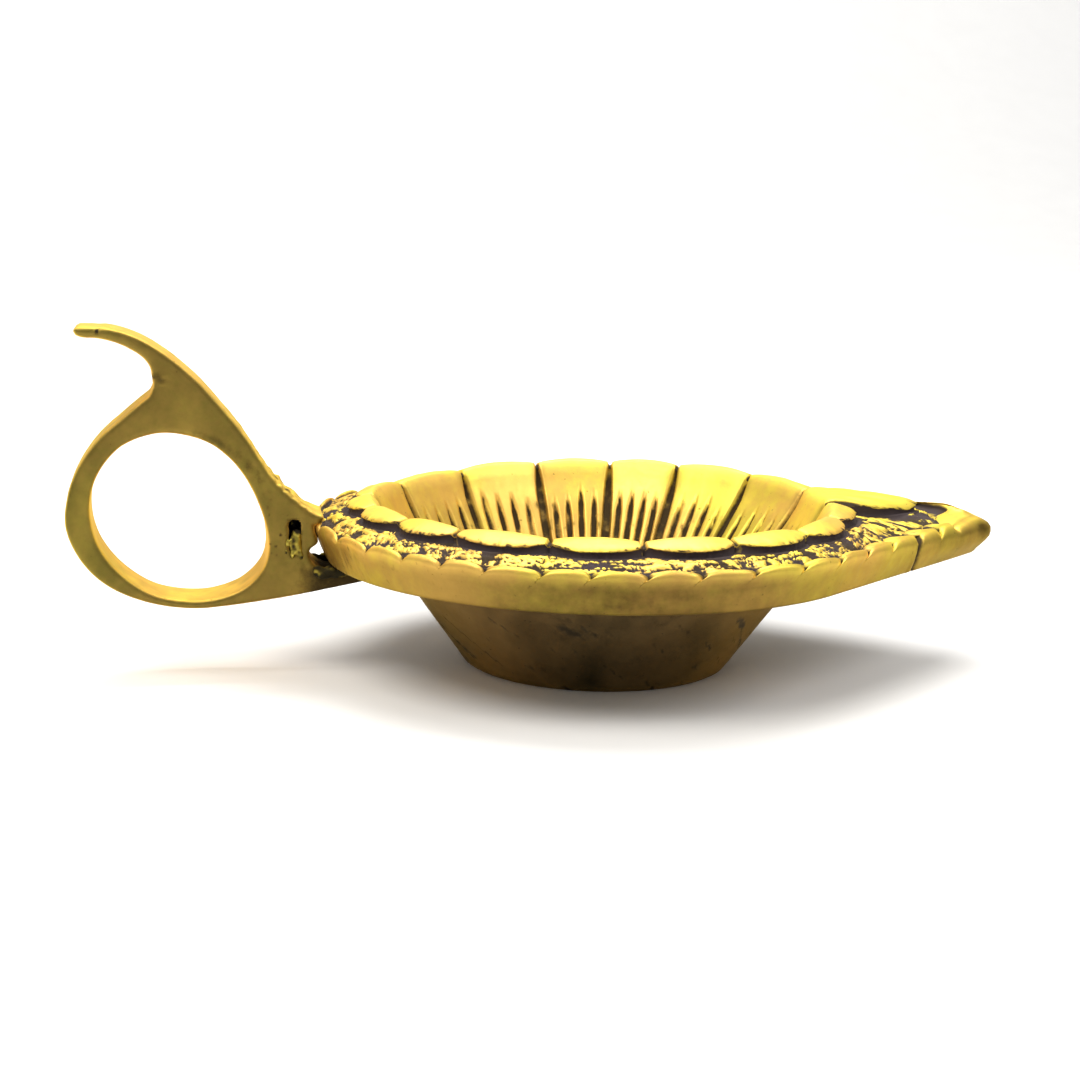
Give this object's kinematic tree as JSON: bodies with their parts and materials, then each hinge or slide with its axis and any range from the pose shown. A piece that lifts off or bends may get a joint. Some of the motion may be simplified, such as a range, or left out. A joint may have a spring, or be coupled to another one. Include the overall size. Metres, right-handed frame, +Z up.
{
  "type": "oil lamp",
  "caption": "Hand-held cast brass oil lamp: a fluted petal bowl with a pointed wick spout on a conical foot, and an upright finger loop with a thumb rest.",
  "frame": {"origin": "centre of the foot's resting face, on the bowl's axis", "axes": "+X from the bowl's axis to the tip of the wick spout, -X to the finger loop, +Z up out of the bowl"},
  "size_m": [0.1398, 0.0852, 0.0499],
  "materials": {
    "pan_brass": "cast and hand polished, dark patina in the recesses",
    "foot_brass": "turned, dark with age and scratched",
    "handle_brass": "filed flat faces, satin",
    "braze": "rough as run"
  },
  "bodies": {
    "root": {"lamp_pan": "pan_brass", "foot": "foot_brass", "handle": "handle_brass", "upper_braze": "braze", "lower_braze": "braze"}
  },
  "joints": []
}
